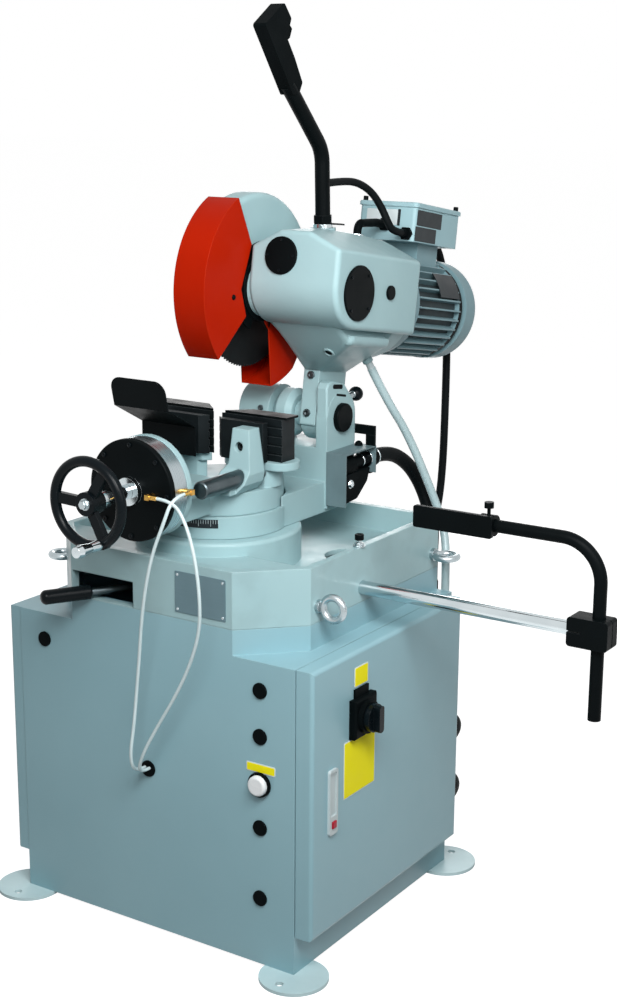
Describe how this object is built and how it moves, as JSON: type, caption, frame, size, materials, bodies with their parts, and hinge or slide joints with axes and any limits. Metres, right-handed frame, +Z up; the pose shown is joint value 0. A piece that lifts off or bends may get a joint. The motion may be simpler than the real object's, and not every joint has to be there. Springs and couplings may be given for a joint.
{
  "type": "metal cut-off saw",
  "caption": "Pull-down circular cold saw with swivelling head, guarded blade, geared motor, air vise and length stop on a sheet-metal cabinet with a chip tray.",
  "frame": {"origin": "on the floor, in the middle of the four anchor holes", "axes": "+X to the operator's right, +Y to the back, +Z up"},
  "size_m": [1.111, 1.1007, 1.6235],
  "materials": {
    "cabinet_shell": "satin",
    "foot_plates": "satin",
    "left_cover": "satin",
    "door_hinges": "ground",
    "front_plugs": "satin",
    "power_lamp": "gloss",
    "rear_glands": "satin",
    "base_tray": "satin paint",
    "eye_bolts": "polished",
    "king_pin": "ground",
    "vise_base": "satin paint",
    "fixed_jaws": "satin",
    "jaw_top_plates": "satin",
    "guide_bars": "ground",
    "cylinder_barrel": "turned",
    "cylinder_cover": "black",
    "air_fittings": "polished",
    "air_hoses": "clear tube",
    "motor_cable_lower": "matt",
    "coolant_hose_lower": "clear tube",
    "conduit": "matt",
    "right_door": "satin",
    "door_fittings": "satin",
    "switch_knob": "satin",
    "latch_button": "gloss",
    "lock_lever": "satin",
    "swivel_body": "satin paint",
    "pivot_shaft": "ground",
    "valve_bracket": "satin",
    "conduit_fitting": "ground",
    "motor_cable_upper": "matt",
    "coolant_hose_upper": "clear tube",
    "lock_pin": "satin",
    "head_casting": "satin paint",
    "gear_covers": "satin",
    "motor_body": "satin paint",
    "fan_cover": "satin paint",
    "terminal_box": "satin paint",
    "terminal_lid": "satin paint",
    "cable_glands": "satin",
    "spring_cover": "gloss",
    "handle_tube": "black",
    "handle_grip": "satin",
    "handle_cable": "matt",
    "front_guard": "gloss",
    "guard_carrier": "satin",
    "chute_guard": "gloss",
    "saw_blade": "ground",
    "blade_flanges": "ground",
    "trigger": "gloss",
    "vise_carriage": "satin paint",
    "moving_jaws": "satin",
    "chip_guard": "satin",
    "handwheel": "satin",
    "vise_screw": "polished",
    "crank_handle": "polished",
    "stop_rod": "polished",
    "stop_clamp": "satin",
    "stop_arm": "satin",
    "stop_plate": "satin"
  },
  "bodies": {
    "base": {"cabinet_shell": "cabinet_shell", "foot_plates": "foot_plates", "left_cover": "left_cover", "door_hinges": "door_hinges", "front_plugs": "front_plugs", "power_lamp": "power_lamp", "rear_glands": "rear_glands", "base_tray": "base_tray", "eye_bolts": "eye_bolts", "king_pin": "king_pin", "vise_base": "vise_base", "fixed_jaws": "fixed_jaws", "jaw_top_plates": "jaw_top_plates", "guide_bars": "guide_bars", "cylinder_barrel": "cylinder_barrel", "cylinder_cover": "cylinder_cover", "air_fittings": "air_fittings", "air_hoses": "air_hoses", "motor_cable_lower": "motor_cable_lower", "coolant_hose_lower": "coolant_hose_lower", "conduit": "conduit"},
    "right_door": {"right_door": "right_door", "door_fittings": "door_fittings"},
    "switch_knob": {"switch_knob": "switch_knob"},
    "latch_button": {"latch_button": "latch_button"},
    "lock_lever": {"lock_lever": "lock_lever"},
    "swivel": {"swivel_body": "swivel_body", "pivot_shaft": "pivot_shaft", "valve_bracket": "valve_bracket", "conduit_fitting": "conduit_fitting", "motor_cable_upper": "motor_cable_upper", "coolant_hose_upper": "coolant_hose_upper"},
    "lock_pin": {"lock_pin": "lock_pin"},
    "head": {"head_casting": "head_casting", "gear_covers": "gear_covers", "motor_body": "motor_body", "fan_cover": "fan_cover", "terminal_box": "terminal_box", "terminal_lid": "terminal_lid", "cable_glands": "cable_glands", "spring_cover": "spring_cover", "handle_tube": "handle_tube", "handle_grip": "handle_grip", "handle_cable": "handle_cable"},
    "front_guard": {"front_guard": "front_guard", "guard_carrier": "guard_carrier"},
    "chute_guard": {"chute_guard": "chute_guard"},
    "blade": {"saw_blade": "saw_blade", "blade_flanges": "blade_flanges"},
    "trigger": {"trigger": "trigger"},
    "carriage": {"vise_carriage": "vise_carriage", "moving_jaws": "moving_jaws", "chip_guard": "chip_guard"},
    "handwheel": {"handwheel": "handwheel", "vise_screw": "vise_screw"},
    "crank_handle": {"crank_handle": "crank_handle"},
    "stop_rod": {"stop_rod": "stop_rod", "stop_clamp": "stop_clamp"},
    "stop_arm": {"stop_arm": "stop_arm"},
    "stop_plate": {"stop_plate": "stop_plate"}
  },
  "joints": [
    {"name": "door_hinge", "type": "hinge", "parent": "base", "child": "right_door", "pos_m": [0.3195, 0.2535, 0.3], "axis": [0, 0, 1], "range_deg": [0, 110]},
    {"name": "switch_turn", "type": "hinge", "parent": "right_door", "child": "switch_knob", "pos_m": [0.3585, -0.118, 0.443], "axis": [1, 0, 0], "range_deg": [0, 90]},
    {"name": "latch_push", "type": "slide", "parent": "right_door", "child": "latch_button", "axis": [-1, 0, 0], "range_m": [0, 0.0025], "stiffness_N_per_m": 600},
    {"name": "lever_swing", "type": "hinge", "parent": "base", "child": "lock_lever", "pos_m": [0, -0.064, 0.62], "axis": [0, 0, 1], "range_deg": [-5, 16]},
    {"name": "swivel", "type": "hinge", "parent": "base", "child": "swivel", "pos_m": [0, -0.064, 0.74], "axis": [0, 0, 1], "range_deg": [-45, 45], "deforming": ["motor_cable_lower", "coolant_hose_lower", "conduit"]},
    {"name": "lock_pin_pull", "type": "slide", "parent": "swivel", "child": "lock_pin", "axis": [0, 1, 0], "range_m": [0, 0.014], "stiffness_N_per_m": 500},
    {"name": "head_pivot", "type": "hinge", "parent": "swivel", "child": "head", "pos_m": [0, 0.155, 0.895], "axis": [1, 0, 0], "range_deg": [0, 43], "deforming": ["motor_cable_upper", "coolant_hose_upper"]},
    {"name": "guard_swing", "type": "hinge", "parent": "head", "child": "front_guard", "pos_m": [0, 0.03201, 1.14127], "axis": [1, 0, 0], "range_deg": [-95, 0]},
    {"name": "chute_swing", "type": "hinge", "parent": "head", "child": "chute_guard", "pos_m": [0, 0.03201, 1.14127], "axis": [1, 0, 0], "range_deg": [0, 39]},
    {"name": "blade_spin", "type": "hinge", "parent": "head", "child": "blade", "pos_m": [0, 0.03201, 1.14127], "axis": [1, 0, 0], "continuous": true},
    {"name": "trigger_pull", "type": "slide", "parent": "head", "child": "trigger", "axis": [0, -0.9877, 0.1564], "range_m": [0, 0.005], "stiffness_N_per_m": 600},
    {"name": "vise_slide", "type": "slide", "parent": "base", "child": "carriage", "axis": [0, 1, 0], "range_m": [-0.055, 0.009]},
    {"name": "handwheel_turn", "type": "hinge", "parent": "base", "child": "handwheel", "pos_m": [0, -0.42, 0.83], "axis": [0, 1, 0], "range_deg": [-970, 160]},
    {"name": "crank_spin", "type": "hinge", "parent": "handwheel", "child": "crank_handle", "pos_m": [0.03286, -0.42, 0.76819], "axis": [0, 1, 0], "continuous": true},
    {"name": "stop_rod_slide", "type": "slide", "parent": "base", "child": "stop_rod", "axis": [1, 0, 0], "range_m": [-0.04, 0.05]},
    {"name": "stop_arm_swing", "type": "hinge", "parent": "stop_rod", "child": "stop_arm", "pos_m": [0.722, -0.008, 0.632], "axis": [0, 0, 1], "range_deg": [0, 90]},
    {"name": "stop_plate_slide", "type": "slide", "parent": "stop_arm", "child": "stop_plate", "axis": [1, 0, 0], "range_m": [0, 0.1]}
  ],
  "couplings": [
    {"joint": "guard_swing", "follows": "head_pivot", "ratio": -2.2},
    {"joint": "chute_swing", "follows": "head_pivot", "ratio": 0.9},
    {"joint": "vise_slide", "follows": "handwheel_turn", "m_per_rad": 0.0031831}
  ]
}
